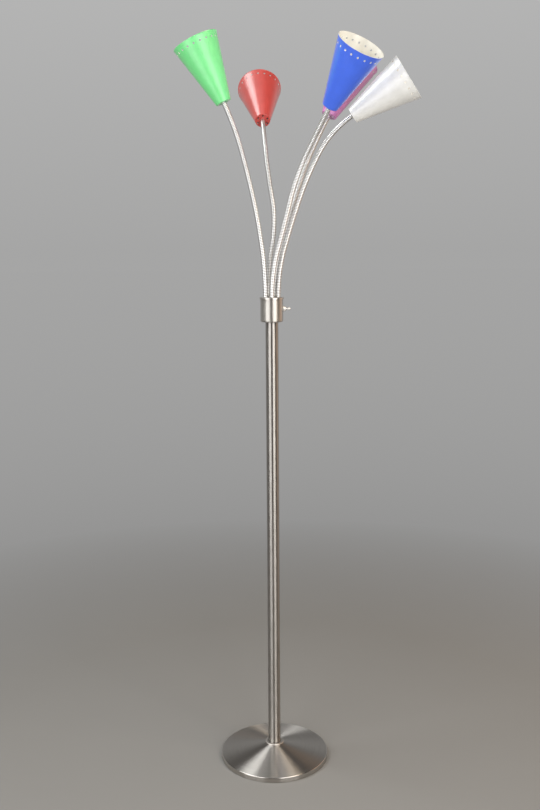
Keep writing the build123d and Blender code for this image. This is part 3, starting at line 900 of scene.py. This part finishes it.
def shade_surface(name, stand, first_turn):
    """Outside of a shade: the outline's radius and height at each length along it, carried round
    the neck's direction, in bands with and without holes. Solidify then gives it its wall."""
    points = rounded_outline(
        [
            (shade_foot_hole_radius, 0, 0),
            (shade_small_radius, 0, shade_foot_rounding),
            (shade_cone_radius, shade_length - shade_rim_height, shade_rim_rounding),
            (shade_rim_radius, shade_length - shade_rim_height + 0.0005, shade_rim_rounding / 2),
            (shade_rim_radius, shade_length, 0),
        ]
    )[0]
    steps_along = np.linalg.norm(np.diff(points, axis=0), axis=1)
    outline_length = np.append(0, np.cumsum(steps_along))
    end = outline_length[-1]
    vent_length = vent_circle_radius - shade_foot_hole_radius
    vent_low, vent_high = vent_length - vent_band_half_height, vent_length + vent_band_half_height
    hole_length = end - rim_hole_depth
    hole_low, hole_high = hole_length - rim_band_half_height, hole_length + rim_band_half_height
    between = outline_length[(outline_length > vent_high) & (outline_length < hole_low)]
    support = 0.0004
    walls = np.linspace(between[-1] + 0.01, hole_low, 10)
    foot_rows = np.concatenate([[0.0], [vent_low]])
    wall_rows = np.concatenate(
        [[vent_high], [between[0] - support], between, [between[-1] + support], walls]
    )
    rim_points = outline_length[outline_length > hole_high]
    rim_rows = np.concatenate([[hole_high], [rim_points[0] - support], rim_points])
    bands = [
        plain_band(foot_rows, first_turn),
        holed_band(
            vent_count, shade_columns, vent_low, vent_high, vent_circle_radius, vent_radius, first_turn
        ),
        plain_band(wall_rows, first_turn),
        holed_band(
            rim_hole_count, shade_columns, hole_low, hole_high, shade_cone_radius, rim_hole_radius, first_turn
        ),
        plain_band(rim_rows, first_turn),
    ]
    turns = np.concatenate([band[0] for band in bands])
    lengths = np.concatenate([band[1] for band in bands])
    first_points = np.cumsum([0] + [band[0].size for band in bands[:-1]])
    faces = np.concatenate([band[2] + first for band, first in zip(bands, first_points)])
    radius = np.interp(lengths, outline_length, points[:, 0])
    height = np.interp(lengths, outline_length, points[:, 1])
    angle = 2 * pi * turns
    stand = np.array(stand)
    places = np.stack([radius * np.cos(angle), radius * np.sin(angle), height], -1)
    places = places @ stand[:3, :3].T + stand[:3, 3]
    return surface_piece(name, places, faces, lengths, np.mod(turns, 1))


def with_wall(piece, thickness):
    """Gives a surface its wall inwards, with the second finish on the inner side, and keeps the
    edges of its holes crisp."""
    solidify = piece.modifiers.new("wall", "SOLIDIFY")
    solidify.thickness = thickness
    solidify.offset = -1
    solidify.use_even_offset = True
    solidify.material_offset = 1
    solidify.material_offset_rim = 1
    whole = piece.evaluated_get(bpy.context.evaluated_depsgraph_get())
    piece.data = bpy.data.meshes.new_from_object(whole)
    piece.modifiers.clear()
    piece.data.set_sharp_from_angle(angle=radians(40))


def enamel_material(name, colour):
    """Stoved enamel: one strong colour under a glossy skin with a faint orange peel, a little
    uneven in depth and slightly dulled where it has been handled."""
    material, tree, shader, place = new_material(name, 0.42)
    depth = speckles(tree, place, 0.035)
    thin = tuple(min(1.0, 1.06 * c + 0.004) for c in colour[:3]) + (1,)
    thick = tuple(0.93 * c for c in colour[:3]) + (1,)
    tree.links.new(mixed_colour(tree, depth, thick, thin), shader.inputs["Base Color"])
    handled = speckles(tree, place, 0.06)
    tree.links.new(mapped(tree, handled, 0.36, 0.48), shader.inputs["Roughness"])
    shader.inputs["Coat Weight"].default_value = 1.0
    shader.inputs["Coat Roughness"].default_value = 0.3
    shader.inputs["Coat IOR"].default_value = 1.6
    raised(tree, shader, speckles(tree, place, 0.0022), 0.000012)
    return material


def head_stand(colour):
    """Where a head sits: its axis follows the neck's tip, a small gap past the end."""
    places, directions = neck_line(colour, np.array([neck_length]))
    along = Vector(directions[0])
    side = along.cross(Vector((0, 0, 1))).normalized()
    front = along.cross(side)
    origin = Vector(places[0]) + along * seat_gap
    return Matrix((side, front, along)).transposed().to_4x4(), origin


cream_enamel = enamel_material("cream_enamel", cream_colour)
head_stands = {}
for colour in neck_colours:
    turn, origin = head_stand(colour)
    head_stands[colour] = Matrix.Translation(origin) @ turn
    shade = shade_surface("shade_cone_" + colour, head_stands[colour], shade_first_turn[colour])
    dress(
        shade,
        enamel_material(colour + "_enamel", shade_finish[colour]),
        colour + "_head",
        colour + "_enamel",
        "shade_" + colour,
    )
    shade.data.materials.append(cream_enamel)
    with_wall(shade, shade_wall)

# Sockets and their threaded tubes
# A black moulded socket screws down on the threaded tube at the neck's tip and clamps the shade's
# foot. Its cap narrows to the tube, and its shell is open at the top for the bulb.
socket_foot_radius = 0.009
socket_cap_radius = 0.0135
socket_cap_top = 0.0128
socket_radius = 0.0155
socket_top = 0.0468
socket_bore_radius = 0.0135
socket_bore_foot = 0.0228
socket_rounding = 0.0008

for colour in neck_colours:
    socket = turned_piece(
        "socket_body_" + colour,
        [
            (0, shade_wall, 0),
            (socket_foot_radius, shade_wall, socket_rounding / 2),
            (socket_cap_radius, socket_cap_top, socket_rounding),
            (socket_radius, socket_cap_top, socket_rounding / 2),
            (socket_radius, socket_top, socket_rounding),
            (socket_bore_radius, socket_top, socket_rounding / 2),
            (socket_bore_radius, socket_bore_foot, socket_rounding / 4),
            (0, socket_bore_foot, 0),
        ],
        columns=64,
        stand=head_stands[colour],
    )
    dress(socket, black_plastic, colour + "_head", "black_plastic", "socket_" + colour)
    refinish(zinc_plate, "tip_nipple_" + colour)

# Bulbs
# Frosted glass bulbs, each with a round head that draws in to the neck and a screw cap down in
# the socket.
bulb_foot = 0.0231
bulb_cap_radius = 0.0131
bulb_cap_top = 0.0461
bulb_radius = 0.024
bulb_shoulder = 0.070
bulb_top = 0.1071
glass_low = (0.80, 0.80, 0.78, 1)
glass_high = (0.86, 0.86, 0.84, 1)


def frosted_glass_material():
    """White frosted glass: even and satin, with the faintest mottling."""
    material, tree, shader, place = new_material("frosted_glass", 0.32)
    mottle = speckles(tree, place, 0.009)
    tree.links.new(mixed_colour(tree, mottle, glass_low, glass_high), shader.inputs["Base Color"])
    tree.links.new(mapped(tree, mottle, 0.26, 0.36), shader.inputs["Roughness"])
    return material


frosted_glass = frosted_glass_material()
for colour in neck_colours:
    bulb = turned_piece(
        "bulb_glass_" + colour,
        [
            (0, bulb_foot, 0),
            (bulb_cap_radius, bulb_foot, fine_rounding),
            (bulb_cap_radius, bulb_cap_top, 0.010),
            (bulb_radius, bulb_shoulder, 0.020),
            (bulb_radius, bulb_top, 0.98 * bulb_radius),
            (0, bulb_top, 0),
        ],
        columns=64,
        steps=14,
        stand=head_stands[colour],
    )
    dress(bulb, frosted_glass, colour + "_head", "frosted_white", "bulb_" + colour)

# Floor and background
# A plain pale floor that turns into the plain grey beyond it and lightens with distance, so that no
# horizon shows from any side. The grey is lighter behind the lamp than in the rest of the studio,
# and darkest overhead.
floor_half_width = 60.0
floor_colour = (0.31, 0.303, 0.29, 1)
floor_fades_from = 0.9
floor_fades_to = 2.2
far_floor_colour = (0.30, 0.298, 0.295, 1)
horizon_colour = (0.38, 0.379, 0.377, 1)
backdrop_colour = (0.46, 0.46, 0.458, 1)
room_colour = (0.135, 0.121, 0.108, 1)
ceiling_colour = (0.09, 0.085, 0.08, 1)


def lit_behind(tree, direction, colour):
    """Colour of the background in a direction: the given one behind the lamp, and the darker room
    at its sides and in front."""
    back = add_node(tree, "ShaderNodeSeparateXYZ", {0: direction}).outputs["Y"]
    return mixed_colour(tree, mapped(tree, back, 0, 1, -0.5, 0.7), room_colour, colour)


floor_material, floor_tree, floor_shader, floor_place = new_material("floor", 0.9)
floor_mottle = speckles(floor_tree, floor_place, 0.4)
floor_bearing = add_node(floor_tree, "ShaderNodeVectorMath", {0: floor_place}, operation="NORMALIZE")
floor_distance = add_node(floor_tree, "ShaderNodeVectorMath", {0: floor_place}, operation="LENGTH")
far_share = mapped(floor_tree, floor_distance.outputs["Value"], 0, 1, floor_fades_from, floor_fades_to)
nearness = add_node(
    floor_tree, "ShaderNodeMath", {0: floor_fades_to, 1: floor_distance.outputs["Value"]}, operation="DIVIDE"
)
floor_beyond = mixed_colour(
    floor_tree,
    mapped(floor_tree, nearness.outputs[0], 1, 0),
    lit_behind(floor_tree, floor_bearing.outputs[0], far_floor_colour),
    lit_behind(floor_tree, floor_bearing.outputs[0], horizon_colour),
)
near_colour = mixed_colour(
    floor_tree, floor_mottle, tuple(0.98 * c for c in floor_colour[:3]) + (1,), floor_colour
)
black = (0, 0, 0, 1)
floor_tree.links.new(
    mixed_colour(floor_tree, far_share, near_colour, black), floor_shader.inputs["Base Color"]
)
floor_tree.links.new(
    mixed_colour(floor_tree, far_share, black, floor_beyond), floor_shader.inputs["Emission Color"]
)
floor_shader.inputs["Emission Strength"].default_value = 1.0
floor_shader.inputs["Specular IOR Level"].default_value = 0.0
floor_corners = floor_half_width * np.array([(-1, -1, 0), (1, -1, 0), (1, 1, 0), (-1, 1, 0)])
floor_mesh = bpy.data.meshes.new("floor")
floor_mesh.from_pydata(floor_corners.tolist(), [], [(0, 1, 2, 3)])
floor = bpy.data.objects.new("floor", floor_mesh)
floor.data.materials.append(floor_material)
bpy.context.scene.collection.objects.link(floor)

world = bpy.data.worlds.new("studio")
world.use_nodes = True
world_tree = world.node_tree
direction = add_node(world_tree, "ShaderNodeTexCoord").outputs["Generated"]
upward = add_node(world_tree, "ShaderNodeSeparateXYZ", {0: direction}).outputs["Z"]
low_sky = mixed_colour(
    world_tree,
    mapped(world_tree, upward, 0, 1, 0.0, 0.25),
    lit_behind(world_tree, direction, horizon_colour),
    lit_behind(world_tree, direction, backdrop_colour),
)
whole_sky = mixed_colour(world_tree, mapped(world_tree, upward, 0, 1, 0.3, 0.6), low_sky, ceiling_colour)
world_tree.links.new(whole_sky, world_tree.nodes["Background"].inputs["Color"])
bpy.context.scene.world = world

# Studio lights
# Two tall soft boxes stand either side of the photographer and give each round of metal its two
# bright stripes, and a dim warm one at the right gives it its brown edge. Two high ones, white at
# the left and warm at the right, and a dim one overhead fill the open shades and fan out on the
# base.
lights = (
    ("left_box", -41, 2.3, 1.35, (1.75, 2.3), 2.6, (1.0, 1.0, 1.0)),
    ("right_box", 29.5, 2.3, 1.35, (1.55, 2.3), 3.1, (1.0, 0.99, 0.975)),
    ("warm_box", 103, 2.5, 1.2, (2.1, 2.2), 0.5, (1.0, 0.62, 0.36)),
    ("high_left_box", -97, 2.4, 4.2, (1.8, 1.8), 6.8, (0.98, 1.0, 1.0)),
    ("high_right_box", 58, 2.2, 3.3, (1.4, 1.4), 5.0, (1.0, 0.84, 0.66)),
    ("overhead_box", -10, 0.8, 3.7, (2.0, 2.0), 1.0, (1.0, 1.0, 1.0)),
)
light_aim = Vector((0, 0, 1.2))
for name, bearing, distance, height, (width, tall), brightness, tint in lights:
    light_data = bpy.data.lights.new(name, "AREA")
    light_data.shape = "RECTANGLE"
    light_data.size = width
    light_data.size_y = tall
    light_data.energy = brightness * pi * width * tall
    light_data.color = tint
    light = bpy.data.objects.new(name, light_data)
    place = Vector((distance * sin(radians(bearing)), -distance * cos(radians(bearing)), height))
    light.location = place
    light.rotation_euler = (light_aim - place).to_track_quat("-Z", "Y").to_euler()
    light.visible_camera = False
    bpy.context.scene.collection.objects.link(light)

bpy.context.scene.view_settings.view_transform = "Standard"
